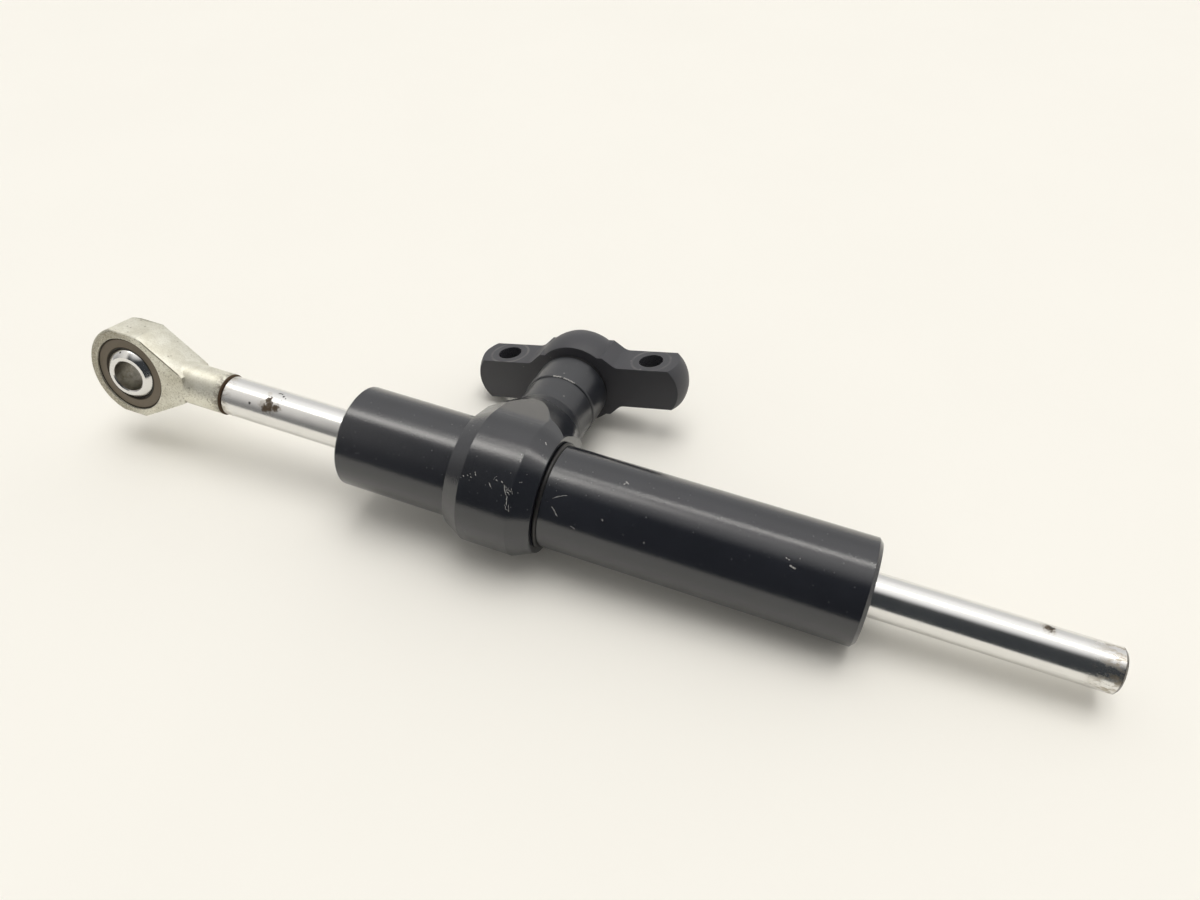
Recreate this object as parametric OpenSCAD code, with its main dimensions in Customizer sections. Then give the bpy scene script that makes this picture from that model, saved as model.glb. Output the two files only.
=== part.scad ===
// Motorcycle steering damper: a through rod in a tube, a pivot collar on the tube and a swivel bracket.
// X runs along the damper, Y along the collar's stalk, and the origin is the centre of the bracket's bolts.
// All lengths are in millimetres and all angles in degrees.

/* [Tube] */
// Outside diameter of the tube where the collar sits
tube_d = 24.5; // [23.5:0.1:28]
// Wall of the tube around the piston
tube_wall = 3.2; // [2.8:0.1:4]
// Length of the tube
tube_l = 124.4; // [110:0.2:160]
// Distance from the stalk's axis to the tube's left end
tube_left = 39.1; // [34:0.1:50]
// Step in radius that stops the collar on its left
tube_step = 0.15; // [0.1:0.05:0.3]
// Chamfer on the right end of the tube
tube_chamfer = 0.9; // [0.4:0.1:1.2]
// Edge break on the left end of the tube
tube_edge = 0.4; // [0.2:0.1:0.8]

/* [Rod] */
// Diameter of the chromed rod
rod_d = 10; // [9:0.1:11]
// Rod shown between the tube and the rod end
rod_out_left = 37.4; // [30:0.2:45]
// Rod shown beyond the tube on the right
rod_out_right = 51.2; // [45:0.2:60]
// Chamfer on the ends of the rod
rod_chamfer = 0.5; // [0.3:0.1:1]

/* [Rod guides] */
// Step in radius from the piston's bore to the guide's seat
seat_step = 0.75; // [0.6:0.05:1]
// Length of a rod guide
guide_l = 18; // [16:0.5:20]
// Set back of the guide's circlip from the tube's end
clip_in = 1.5; // [1.2:0.1:2.5]
// Thickness of the guide circlips
clip_t = 1; // [0.8:0.1:1.2]
// Depth of a circlip groove
clip_groove = 0.5; // [0.4:0.05:0.6]
// Wall of the guide bushes
guide_bush_wall = 1; // [0.8:0.1:1.5]
// Length of the guide bushes
guide_bush_l = 7; // [6:0.5:8]
// Radial width of the oil seals and wipers
seal_w = 2.5; // [2.2:0.1:2.6]
// Length of the oil seals
seal_l = 3.2; // [2.6:0.1:3.6]
// Length of the wiper's seat
wiper_l = 3.4; // [2.8:0.1:3.8]
// Lip of the wiper past the guide's face
wiper_lip = 0.8; // [0.5:0.1:1]
// Section of the guide's o-ring
o_ring_d = 1.8; // [1.5:0.1:2]

/* [Piston] */
// Length of the piston
piston_l = 12; // [10:0.5:16]
// Gap in radius between the piston and the bore
piston_gap = 0.3; // [0.2:0.05:0.4]
// Width of the piston ring
ring_l = 3; // [2.5:0.1:4]
// Depth of the piston ring's groove
ring_depth = 1.2; // [1:0.1:1.4]
// Diameter of the oil ports through the piston
port_d = 1.2; // [1:0.1:1.3]
// Number of oil ports
port_n = 6; // [3:1:8]
// Thickness of the valve shims
shim_t = 0.4; // [0.2:0.1:0.6]

/* [Pivot collar] */
// Length of the collar along the tube
collar_l = 21.4; // [20:0.2:28]
// Distance from the stalk's axis to the collar's left end
collar_left = 9.8; // [9.6:0.1:12]
// Length of the collar's round band
band_l = 12.2; // [10:0.2:16]
// Distance from the stalk's axis to the band's left edge
band_left = 5.5; // [5:0.1:7]
// Wall of the collar at its band
collar_wall = 4.1; // [3.5:0.1:5]
// Wall of the collar at its ends
collar_edge = 1.9; // [1.6:0.1:3]
// Lean of the boss's flats towards the stalk
flat_angle = 15.5; // [12:0.5:18]
// Reach of the boss's turned flank from the damper's axis
boss_reach = 23.8; // [22:0.2:26]
// Slope of the boss's turned flank
boss_angle = 24; // [23:0.2:26]
// Diameter of the stalk's plain neck
stalk_d = 18.6; // [16:0.2:20]
// Step in radius from the neck to the stalk's head
stalk_step = 0.4; // [0.2:0.05:0.6]
// Length of the stalk's head
stalk_head_l = 10.1; // [8:0.1:12]
// Rounding of the edges of the stalk's head
stalk_edge = 0.6; // [0.3:0.1:0.8]
// Edge break on the tip of the spigot
spigot_edge = 0.4; // [0.2:0.1:0.6]
// Diameter of the snap ring's wire
snap_d = 1; // [0.9:0.1:1.6]
// Share of the wire that sits in the tube's groove
snap_sunk = 0.4; // [0.35:0.05:0.6]
// Opening of the snap ring
snap_open = 24; // [15:1:40]

/* [Swivel] */
// Distance from the damper's axis to the bracket's bolts
stalk_reach = 48.8; // [46:0.2:60]
// Diameter of the stalk's spigot in the bracket
spigot_d = 12; // [11:0.1:13]
// Gap between the stalk's head and the bracket
pivot_gap = 1.6; // [1.2:0.1:2]
// Wall of the pivot bush
pivot_bush_wall = 1.5; // [1.2:0.1:2]
// Width of the bush's flange
flange_w = 1.5; // [1:0.1:2]
// Thickness of the pivot washer
washer_t = 1; // [0.8:0.1:1.2]
// Width of the pivot washer
washer_w = 3; // [2.4:0.1:3.4]

/* [Bracket] */
// Distance between the bolt holes
bolt_spacing = 41.6; // [40:0.2:50]
// Diameter of the bolt holes
bolt_hole_d = 6.4; // [5.5:0.1:7]
// Distance from a bolt hole to the wing's tip
wing_end = 9.5; // [8:0.1:11]
// Radius of the domed wing tips
tip_r = 10; // [9:0.5:14]
// Height of the wings along the bolts
wing_h = 11.7; // [10:0.1:14]
// Thickness of the bracket along the stalk
bracket_t = 10; // [10:0.2:13]
// Diameter of the bracket's ball-shaped hub
hub_d = 25; // [24:0.5:28]
// Place of the ledge round the hub
ledge_angle = 44; // [40:1:48]
// Slope from the ledge down to the wing
ramp_angle = 40; // [35:1:50]
// Fillet at the foot of the slope
ramp_fillet = 3; // [1:0.5:4]
// Turn of the bracket about the stalk
bracket_turn = 13.4; // [-90:0.1:90]

/* [Rod end] */
// Distance from the rod's end to the eye's centre
eye_reach = 27.6; // [25:0.2:36]
// Diameter of the ball
ball_d = 15.88; // [14:0.02:17]
// Width of the ball across its flats
ball_w = 12; // [10.5:0.1:13]
// Bore of the ball
ball_bore = 8; // [6:0.1:9]
// Chamfer at the ball's bore
ball_chamfer = 0.3; // [0.2:0.05:0.6]
// Tilt of the ball towards the rod
ball_turn = 5; // [-8:0.5:8]
// Wall of the race at its middle
race_wall = 1.86; // [1.5:0.02:2.5]
// Width of the race
race_w = 9; // [8:0.1:9.6]
// Wall of the eye around the race
eye_wall = 2.5; // [1.6:0.1:3]
// Width of the eye
eye_w = 9.8; // [9:0.1:11]
// Cut that flattens the eye above and below
eye_flat = 1.15; // [0.8:0.05:1.5]
// Edge break round the eye
eye_edge = 0.7; // [0.3:0.1:1]
// Wall of the eye at its flanks
flank_wall = 1.65; // [1.4:0.05:2]
// Slope of the eye's flanks to the shank
flank_angle = 30.4; // [28:0.2:34]
// Radius of the machined faces round the bore
face_r = 16.9; // [15:0.1:18]
// Diameter of the shank
shank_d = 10.6; // [10.4:0.1:12]
// Edge break on the end of the shank
shank_edge = 0.3; // [0.2:0.1:0.6]
// Diameter of the stud in the rod
stud_d = 6; // [5:0.1:6.5]
// Length of the stud in the rod
stud_l = 14; // [10:0.5:18]
// Turn of the rod end about the rod
rod_end_turn = 7.5; // [-180:0.1:180]

/* [Clearances] */
// Radial clearance of a running fit
run_gap = 0.04; // [0.02:0.01:0.08]
// Radial clearance of a piece in its seat
seat_gap = 0.02; // [0.01:0.01:0.05]
// Clearance between faces that turn past each other
face_gap = 0.2; // [0.1:0.05:0.3]
// Radial clearance where the rod only passes through
pass_gap = 0.3; // [0.2:0.05:0.4]

/* [Hidden] */
$fn = 96;
// Length by which a cut passes the faces that it opens
past = 1;

tube_x0 = -tube_left;
tube_x1 = tube_l - tube_left;
tube_bore = tube_d - 2 * tube_wall;
seat_d = tube_bore + 2 * seat_step;
guide_z = clip_in + clip_t + seat_gap;
seat_l = guide_z + guide_l;

bush_z = guide_z + wiper_l + 1;
seal_z = seat_l - seal_l - 1.5;
o_ring_z = guide_z + guide_l / 2;
seal_d = rod_d + 2 * seal_w;

rod_x0 = tube_x0 - rod_out_left;
rod_x1 = tube_x1 + rod_out_right;
piston_x = (rod_x0 + rod_x1) / 2;
piston_d = tube_bore - 2 * piston_gap;
port_r = (rod_d / 2 + piston_d / 2 - ring_depth) / 2;
shim_r = port_r + port_d / 2 + 0.7;
pack_half = piston_l / 2 + shim_t + run_gap;

collar_right = collar_l - collar_left;
band_right = band_l - band_left;
collar_r = tube_d / 2 + seat_gap + collar_wall;
collar_end_r = tube_d / 2 + seat_gap + collar_edge;
stalk_r = stalk_d / 2;
stalk_head_r = stalk_r + stalk_step;
boss_end = boss_reach + past;
snap_r = tube_d / 2 + snap_d * (0.5 - snap_sunk);
snap_x = collar_right + snap_d / 2;

bracket_y0 = stalk_reach - bracket_t / 2;
bracket_y1 = stalk_reach + bracket_t / 2;
stalk_head_y1 = bracket_y0 - pivot_gap;
stalk_head_y0 = stalk_head_y1 - stalk_head_l;
recess_l = face_gap + washer_t + 2 * seat_gap + clip_t + 1;
recess_y = bracket_y1 - recess_l;
washer_y = recess_y + face_gap;
pivot_clip_y = washer_y + washer_t + seat_gap;
washer_d = spigot_d + 2 * washer_w;
pivot_bush_d = spigot_d + 2 * run_gap + 2 * pivot_bush_wall;
spigot_y1 = bracket_y1 - 0.4;

ball_r = ball_d / 2;
race_d = ball_d + 2 * run_gap + 2 * race_wall;
eye_r = race_d / 2 + seat_gap + eye_wall;
race_mouth = sqrt(pow(ball_r + run_gap, 2) - pow(race_w / 2, 2)) + 0.5;
eye_x = rod_x0 - eye_reach;
shank_r = shank_d / 2;
eye_top = eye_r - eye_flat;
flank_r = race_d / 2 + seat_gap + flank_wall;
flank_x0 = (flank_r - eye_top * cos(flank_angle)) / sin(flank_angle);
flank_x1 = face_r + past;
flank_z1 = max((flank_r - flank_x1 * sin(flank_angle)) / cos(flank_angle), 1);

// Frames of the pieces

// Moves a piece drawn round the damper's axis into place
module damper() {
    translate([0, -stalk_reach, 0]) children();
}

// Lays a piece drawn along Z along the damper, with its zero at x
module along_x(x = 0) {
    damper() translate([x, 0, 0]) rotate([0, 90, 0]) children();
}

// Lays a piece drawn along Z along the stalk, with its zero on the damper's axis
module along_stalk(y = 0) {
    damper() translate([0, y, 0]) rotate([-90, 0, 0]) children();
}

// Sets a piece at an end of the tube, with Z pointing into the tube
module at_end(side) {
    damper() translate([side < 0 ? tube_x0 : tube_x1, 0, 0]) rotate([0, -90 * side, 0]) children();
}

// Sets a piece on a face of the piston, with Z pointing away from the piston
module at_piston(side) {
    damper() translate([piston_x, 0, 0]) rotate([0, 90 * side, 0]) children();
}

// Turns a piece of the bracket about the stalk
module bracket_frame() {
    rotate([0, -bracket_turn, 0]) children();
}

// Sets a piece of the rod end, with the bore along Y and the shank along X
module eye_frame() {
    damper() translate([eye_x, 0, 0]) rotate([-rod_end_turn, 0, 0]) children();
}

// Shared shapes

// Ring along Z from z to z + l
module ring(d_out, d_in, z, l) {
    translate([0, 0, z]) difference() {
        cylinder(d = d_out, h = l);
        translate([0, 0, -past]) cylinder(d = d_in, h = l + 2 * past);
    }
}

// Cylinder along Z from z to z + l, used as a cut
module bore(d, z, l) {
    translate([0, 0, z]) cylinder(d = d, h = l);
}

// Sector of a plane that opens a ring
module opening(r, angle) {
    polygon([[0, 0], [r * cos(angle / 2), r * sin(angle / 2)], [r * cos(angle / 2), -r * sin(angle / 2)]]);
}

// Flat retaining ring with two eyed lugs beside its opening
module circlip(r_in, r_out, lug_at, open) {
    lug_r = 1.2;
    linear_extrude(clip_t) difference() {
        union() {
            difference() {
                circle(r_out);
                circle(r_in);
                opening(3 * r_out, open);
            }
            for (s = [-1, 1]) rotate(s * (open / 2 + 5)) translate([lug_at, 0]) circle(lug_r);
        }
        for (s = [-1, 1]) rotate(s * (open / 2 + 5)) translate([lug_at, 0]) circle(0.5);
    }
}

// Tube

module damper_tube() {
    r = tube_d / 2;
    r_left = r + tube_step;
    color("dimgray") difference() {
        along_x() rotate_extrude() polygon([
            [0, tube_x0], [r_left - tube_edge, tube_x0], [r_left, tube_x0 + tube_edge], [r_left, -collar_left],
            [r, -collar_left], [r, tube_x1 - tube_chamfer], [r - tube_chamfer, tube_x1], [0, tube_x1]
        ]);
        along_x(tube_x0) bore(tube_bore, -past, tube_l + 2 * past);
        for (side = [-1, 1]) at_end(side) {
            bore(seat_d, -past, seat_l + past);
            bore(seat_d + 2 * clip_groove, clip_in - seat_gap, clip_t + 2 * seat_gap);
        }
        along_x(snap_x) rotate_extrude() translate([snap_r, 0]) circle(d = snap_d + 2 * seat_gap);
    }
}

// Pivot collar and its snap ring

// Outline of the collar along the damper, from the axis out
module collar_half() {
    polygon([
        [0, -collar_left], [collar_end_r, -collar_left], [collar_r, -band_left],
        [collar_r, band_right], [collar_end_r, collar_right], [0, collar_right]
    ]);
}

// Boss that carries the collar's outline out to the stalk on two leaning flats, trimmed by a turned flank
module collar_boss() {
    intersection() {
        for (m = [0, 1]) mirror([0, 0, m]) damper() rotate([-flat_angle - 90, 0, 0])
            linear_extrude(boss_end) rotate(-90) collar_half();
        along_stalk() cylinder(
            r1 = stalk_r + boss_reach * tan(boss_angle), r2 = stalk_r - past * tan(boss_angle), h = boss_end
        );
    }
}

// Outline of the stalk's head from the axis out, with round edges
module stalk_head() {
    y0 = stalk_head_y0 + stalk_edge;
    y1 = stalk_head_y1 - stalk_edge;
    translate([0, stalk_head_y0]) square([stalk_head_r - stalk_edge, stalk_head_l]);
    translate([0, y0]) square([stalk_head_r, y1 - y0]);
    for (y = [y0, y1]) translate([stalk_head_r - stalk_edge, y]) circle(stalk_edge);
}

// Stalk with its neck, head and grooved spigot, turned about the stalk's axis
module collar_stalk() {
    along_stalk() {
        cylinder(r = stalk_r, h = stalk_head_y0 + past);
        rotate_extrude() stalk_head();
        difference() {
            rotate_extrude() polygon([
                [0, stalk_head_y0], [spigot_d / 2, stalk_head_y0], [spigot_d / 2, spigot_y1 - spigot_edge],
                [spigot_d / 2 - spigot_edge, spigot_y1], [0, spigot_y1]
            ]);
            translate([0, 0, pivot_clip_y - seat_gap])
                ring(spigot_d + past, spigot_d - 2 * clip_groove, 0, clip_t + 2 * seat_gap);
        }
    }
}

module pivot_collar() {
    color("darkslategray") difference() {
        union() {
            along_x() rotate_extrude() collar_half();
            collar_boss();
            collar_stalk();
        }
        along_x(-collar_left - past) cylinder(d = tube_d + 2 * seat_gap, h = collar_l + 2 * past);
    }
}

module collar_snap_ring() {
    color("black") along_x(snap_x) rotate([0, 0, 90 + snap_open / 2])
        rotate_extrude(angle = 360 - snap_open) translate([snap_r, 0]) circle(d = snap_d);
}

// Bracket and the pieces of its swivel

// Slope from the hub's ledge to one wing, above the wing's upper face
module bracket_ramp() {
    ledge = hub_d / 2 * [cos(ledge_angle), sin(ledge_angle)];
    foot_x = ledge[0] + (ledge[1] - wing_h / 2) / tan(ramp_angle);
    tangent = ramp_fillet * tan(ramp_angle / 2);
    polygon([[0, 0], [0, ledge[1]], ledge, [foot_x, wing_h / 2], [foot_x, 0]]);
    difference() {
        polygon([
            [foot_x - tangent * cos(ramp_angle), wing_h / 2 + tangent * sin(ramp_angle)],
            [foot_x - tangent, 0], [foot_x + tangent, 0], [foot_x + tangent, wing_h / 2]
        ]);
        translate([foot_x + tangent, wing_h / 2 + ramp_fillet]) circle(ramp_fillet);
    }
}

// Outline of the bracket seen along the stalk
module bracket_outline() {
    square([bolt_spacing + 2 * wing_end, wing_h], center = true);
    for (mx = [0, 1], my = [0, 1]) mirror([mx, 0]) mirror([0, my]) bracket_ramp();
}

// Space inside the domed wing tips
module wing_tips() {
    tip_x = bolt_spacing / 2 + wing_end - tip_r;
    cube([2 * tip_x, 2 * tip_r, 2 * hub_d], center = true);
    for (s = [-1, 1]) translate([s * tip_x, 0, 0]) sphere(tip_r);
}

module mounting_bracket() {
    color("slategray") bracket_frame() difference() {
        union() {
            intersection() {
                rotate([90, 0, 0]) linear_extrude(bracket_t, center = true) bracket_outline();
                wing_tips();
            }
            intersection() {
                sphere(d = hub_d);
                cube([2 * hub_d, bracket_t, 2 * hub_d], center = true);
            }
        }
        rotate([90, 0, 0]) cylinder(d = pivot_bush_d + 2 * seat_gap, h = 2 * hub_d, center = true);
        translate([0, bracket_t / 2 - recess_l, 0]) rotate([-90, 0, 0])
            cylinder(d = washer_d + 2 * face_gap, h = recess_l + past);
        for (s = [-1, 1]) translate([s * bolt_spacing / 2, 0, 0])
            cylinder(d = bolt_hole_d, h = 2 * hub_d, center = true);
    }
}

module pivot_bush() {
    flange_t = pivot_gap - face_gap;
    inner_d = spigot_d + 2 * run_gap;
    color("black") along_stalk() {
        ring(pivot_bush_d, inner_d, bracket_y0 - flange_t, recess_y - bracket_y0 + flange_t);
        ring(pivot_bush_d + 2 * flange_w, inner_d, bracket_y0 - flange_t, flange_t);
    }
}

module pivot_washer() {
    color("silver") along_stalk() ring(washer_d, spigot_d + 2 * run_gap, washer_y, washer_t);
}

module pivot_circlip() {
    r = spigot_d / 2;
    color("gray") along_stalk(pivot_clip_y) circlip(r - clip_groove + seat_gap, r + 1.4, r + 0.9, 70);
}

// Rod guides with their bushes, seals, o-rings and circlips

module rod_guide(side) {
    r_groove = seat_d / 2 - o_ring_d - 2 * seat_gap;
    color("lightsteelblue") at_end(side) difference() {
        bore(seat_d - 2 * seat_gap, guide_z, guide_l);
        bore(rod_d + 2 * pass_gap, 0, seat_l + past);
        bore(seal_d, 0, guide_z + wiper_l);
        bore(rod_d + 2 * run_gap + 2 * guide_bush_wall, bush_z, guide_bush_l);
        bore(seal_d, seal_z, seal_l);
        ring(seat_d + past, 2 * r_groove, o_ring_z - 0.65 * o_ring_d, 1.3 * o_ring_d);
    }
}

module guide_bush(side) {
    inner_d = rod_d + 2 * run_gap;
    outer_d = inner_d + 2 * guide_bush_wall - 2 * seat_gap;
    color("peru") at_end(side) ring(outer_d, inner_d, bush_z + seat_gap, guide_bush_l - 2 * seat_gap);
}

module oil_seal(side) {
    r_in = rod_d / 2 + run_gap;
    r_out = seal_d / 2 - seat_gap;
    mid = (r_in + r_out) / 2;
    z0 = seal_z + seat_gap;
    z1 = seal_z + seal_l - seat_gap;
    color("black") at_end(side) rotate_extrude() polygon([
        [r_in, z0], [r_out, z0], [r_out, z1], [mid + 0.5, z1],
        [mid, z0 + seal_l / 2], [mid - 0.5, z1], [r_in, z1]
    ]);
}

module wiper(side) {
    r_in = rod_d / 2 + run_gap;
    r_out = seal_d / 2 - seat_gap;
    z0 = guide_z - wiper_lip;
    z1 = guide_z + wiper_l - seat_gap;
    color("black") at_end(side) rotate_extrude() polygon([
        [r_in, z0], [r_in + 0.5, z0], [r_in + 1.1, guide_z], [r_out, guide_z],
        [r_out, z1], [r_in + 0.7, z1], [r_in, guide_z + 0.8]
    ]);
}

module guide_o_ring(side) {
    color("black") at_end(side) rotate_extrude()
        translate([seat_d / 2 - seat_gap - o_ring_d / 2, o_ring_z]) circle(d = o_ring_d);
}

module guide_circlip(side) {
    r = seat_d / 2;
    color("gray") at_end(side) translate([0, 0, clip_in])
        circlip(r - 1.3, r + clip_groove - seat_gap, r - 1.6, 50);
}

module left_rod_guide() { rod_guide(-1); }
module right_rod_guide() { rod_guide(1); }
module left_guide_bush() { guide_bush(-1); }
module right_guide_bush() { guide_bush(1); }
module left_oil_seal() { oil_seal(-1); }
module right_oil_seal() { oil_seal(1); }
module left_wiper() { wiper(-1); }
module right_wiper() { wiper(1); }
module left_guide_o_ring() { guide_o_ring(-1); }
module right_guide_o_ring() { guide_o_ring(1); }
module left_guide_circlip() { guide_circlip(-1); }
module right_guide_circlip() { guide_circlip(1); }

// Rod, piston and valve

module damper_rod() {
    r = rod_d / 2;
    color("gainsboro") difference() {
        along_x() rotate_extrude() polygon([
            [0, rod_x0], [r - rod_chamfer, rod_x0], [r, rod_x0 + rod_chamfer],
            [r, rod_x1 - rod_chamfer], [r - rod_chamfer, rod_x1], [0, rod_x1]
        ]);
        along_x(rod_x0) bore(stud_d + 2 * seat_gap, -past, stud_l + 2 * past);
        for (side = [-1, 1]) at_piston(side)
            ring(rod_d + past, rod_d - 2 * clip_groove, pack_half - seat_gap, clip_t + 2 * seat_gap);
    }
}

module piston() {
    color("silver") at_piston(1) difference() {
        bore(piston_d, -piston_l / 2, piston_l);
        bore(rod_d + 2 * run_gap, -piston_l, 2 * piston_l);
        ring(piston_d + past, piston_d - 2 * ring_depth, -ring_l / 2, ring_l);
        for (i = [0 : port_n - 1]) rotate(i * 360 / port_n) translate([port_r, 0, 0])
            bore(port_d, -piston_l, 2 * piston_l);
    }
}

module piston_ring() {
    inner_d = piston_d - 2 * ring_depth + 2 * seat_gap;
    width = ring_l - 2 * seat_gap;
    color("saddlebrown") at_piston(1) ring(tube_bore - 2 * run_gap, inner_d, -width / 2, width);
}

module valve_shim(side) {
    color("steelblue") at_piston(side) ring(2 * shim_r, rod_d + 2 * run_gap, piston_l / 2, shim_t);
}

module piston_circlip(side) {
    r = rod_d / 2;
    color("gray") at_piston(side) translate([0, 0, pack_half])
        circlip(r - clip_groove + seat_gap, r + 1.3, r + 0.9, 70);
}

module left_valve_shim() { valve_shim(-1); }
module right_valve_shim() { valve_shim(1); }
module left_piston_circlip() { piston_circlip(-1); }
module right_piston_circlip() { piston_circlip(1); }

// Rod end

// Outline of the eye seen along its bore: a round, flats above and below, and flanks out to the shank
module eye_outline() {
    intersection() {
        circle(eye_r);
        translate([-2 * eye_r, -eye_top]) square([2 * eye_r + flank_x0, 2 * eye_top]);
    }
    intersection() {
        polygon([
            [0, eye_top], [flank_x0, eye_top], [flank_x1, flank_z1],
            [flank_x1, -flank_z1], [flank_x0, -eye_top], [0, -eye_top]
        ]);
        circle(face_r);
    }
}

// Ring cut away to break the edges of the eye's round, on the side away from the shank
module eye_edges() {
    intersection() {
        for (s = [0, 180]) rotate([90 + s, 0, 0]) rotate_extrude() polygon([
            [eye_r - eye_edge, eye_w / 2], [eye_r + past, eye_w / 2 - eye_edge - past],
            [eye_r + past, eye_w / 2 + past], [eye_r - eye_edge, eye_w / 2 + past]
        ]);
        translate([-2 * eye_r, -eye_w, -2 * eye_r]) cube([2 * eye_r, 2 * eye_w, 4 * eye_r]);
    }
}

// Shank and stud turned about the rod's axis, cut back by the machined faces of the eye
module eye_shank() {
    x0 = race_d / 2 + eye_wall;
    difference() {
        rotate([0, 90, 0]) rotate_extrude() polygon([
            [0, x0], [shank_r, x0], [shank_r, eye_reach - shank_edge], [shank_r - shank_edge, eye_reach],
            [stud_d / 2, eye_reach], [stud_d / 2, eye_reach + stud_l], [0, eye_reach + stud_l]
        ]);
        for (s = [0, 180]) rotate([90 + s, 0, 0]) translate([0, 0, eye_w / 2]) cylinder(r = face_r, h = eye_w);
    }
}

module rod_end_housing() {
    color("khaki") eye_frame() difference() {
        union() {
            rotate([90, 0, 0]) linear_extrude(eye_w, center = true) eye_outline();
            eye_shank();
        }
        eye_edges();
        rotate([90, 0, 0]) cylinder(d = race_d + 2 * seat_gap, h = 2 * eye_w, center = true);
    }
}

module rod_end_race() {
    color("tan") eye_frame() rotate([90, 0, 0]) difference() {
        cylinder(d = race_d, h = race_w, center = true);
        sphere(ball_r + run_gap);
        for (s = [0, 180]) rotate([s, 0, 0]) translate([0, 0, race_w / 2 - 0.5])
            cylinder(r1 = race_mouth - 0.5, r2 = race_mouth + 0.5, h = 1);
    }
}

module rod_end_ball() {
    color("gainsboro") eye_frame() rotate([90, 0, ball_turn]) difference() {
        intersection() {
            sphere(ball_r);
            cube([ball_d, ball_d, ball_w], center = true);
        }
        cylinder(d = ball_bore, h = 2 * ball_w, center = true);
        for (s = [0, 180]) rotate([s, 0, 0]) translate([0, 0, ball_w / 2 - ball_chamfer])
            cylinder(d1 = ball_bore, d2 = ball_bore + 4 * ball_chamfer, h = 2 * ball_chamfer);
    }
}

damper_tube();
pivot_collar();
collar_snap_ring();
mounting_bracket();
pivot_bush();
pivot_washer();
pivot_circlip();
left_rod_guide();
right_rod_guide();
left_guide_bush();
right_guide_bush();
left_oil_seal();
right_oil_seal();
left_wiper();
right_wiper();
left_guide_o_ring();
right_guide_o_ring();
left_guide_circlip();
right_guide_circlip();
damper_rod();
piston();
piston_ring();
left_valve_shim();
right_valve_shim();
left_piston_circlip();
right_piston_circlip();
rod_end_housing();
rod_end_race();
rod_end_ball();
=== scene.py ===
import math

import bpy
from mathutils import Matrix, Vector

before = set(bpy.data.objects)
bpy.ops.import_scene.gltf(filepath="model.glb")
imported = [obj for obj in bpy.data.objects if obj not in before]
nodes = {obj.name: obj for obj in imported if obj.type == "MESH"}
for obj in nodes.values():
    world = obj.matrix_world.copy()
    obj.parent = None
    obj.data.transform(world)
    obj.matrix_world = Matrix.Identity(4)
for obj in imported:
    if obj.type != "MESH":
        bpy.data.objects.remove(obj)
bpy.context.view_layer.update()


# Damper rod
# A ground steel bar with hard chrome on it, which runs through the tube and sticks out at both ends.
# The chrome is polished round the bar, with rust spots beside the rod end and near the tip.


def add_node(tree, kind, inputs=None, **settings):
    """Adds a shader node with its settings, and sets or links its inputs."""
    node = tree.nodes.new(kind)
    for name, value in settings.items():
        setattr(node, name, value)
    for name, value in (inputs or {}).items():
        if isinstance(value, bpy.types.NodeSocket):
            tree.links.new(value, node.inputs[name])
        else:
            node.inputs[name].default_value = value
    return node


def add_math(tree, operation, a, b=0.0, c=0.0):
    """Adds a math node and gives its value."""
    return add_node(tree, "ShaderNodeMath", {0: a, 1: b, 2: c}, operation=operation).outputs[0]


def add_product(tree, *values):
    """Multiplies values."""
    product = values[0]
    for value in values[1:]:
        product = add_math(tree, "MULTIPLY", product, value)
    return product


def add_distance(tree, value, middle):
    """Gives how far a value lies from another one."""
    return add_math(tree, "ABSOLUTE", add_math(tree, "SUBTRACT", value, middle))


def add_vector(tree, operation, first, second, output="Vector"):
    """Adds a vector math node and gives its result."""
    node = add_node(tree, "ShaderNodeVectorMath", {0: first, 1: second}, operation=operation)
    return node.outputs[output]


def add_ramp(tree, value, low, high, start=0.0, end=1.0):
    """Maps a value from low..high to start..end with a soft step."""
    inputs = {"Value": value, "From Min": low, "From Max": high, "To Min": start, "To Max": end}
    node = add_node(tree, "ShaderNodeMapRange", inputs, interpolation_type="SMOOTHSTEP")
    return node.outputs["Result"]


def add_mix(tree, factor, first, second):
    """Mixes two colours."""
    inputs = {0: factor, 6: first, 7: second}
    return add_node(tree, "ShaderNodeMix", inputs, data_type="RGBA").outputs[2]


def add_noise(tree, vector, scale, detail=2.0, roughness=0.5):
    """Adds a noise texture and gives its value."""
    inputs = {"Vector": vector, "Scale": scale, "Detail": detail, "Roughness": roughness}
    return add_node(tree, "ShaderNodeTexNoise", inputs).outputs["Fac"]


def add_stretch(tree, vector, scale):
    """Stretches the coordinates of a pattern."""
    return add_node(tree, "ShaderNodeMapping", {"Vector": vector, "Scale": scale}).outputs["Vector"]


def add_split(tree, vector):
    """Gives a vector's X, Y and Z."""
    return add_node(tree, "ShaderNodeSeparateXYZ", {"Vector": vector}).outputs


def add_bump(tree, height, strength, distance, normal=None):
    """Adds a bump, over another normal if one is given, and gives its normal."""
    inputs = {"Height": height, "Strength": strength, "Distance": distance}
    if normal is not None:
        inputs["Normal"] = normal
    return add_node(tree, "ShaderNodeBump", inputs).outputs["Normal"]


def new_finish(name):
    """Starts a material and gives it with its tree, its surface and the piece's coordinates."""
    material = bpy.data.materials.new(name)
    material.use_nodes = True
    tree = material.node_tree
    tree.nodes.clear()
    surface = add_node(tree, "ShaderNodeBsdfPrincipled")
    add_node(tree, "ShaderNodeOutputMaterial", {"Surface": surface.outputs["BSDF"]})
    place = add_node(tree, "ShaderNodeTexCoord").outputs["Object"]
    return material, tree, surface, place


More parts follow.
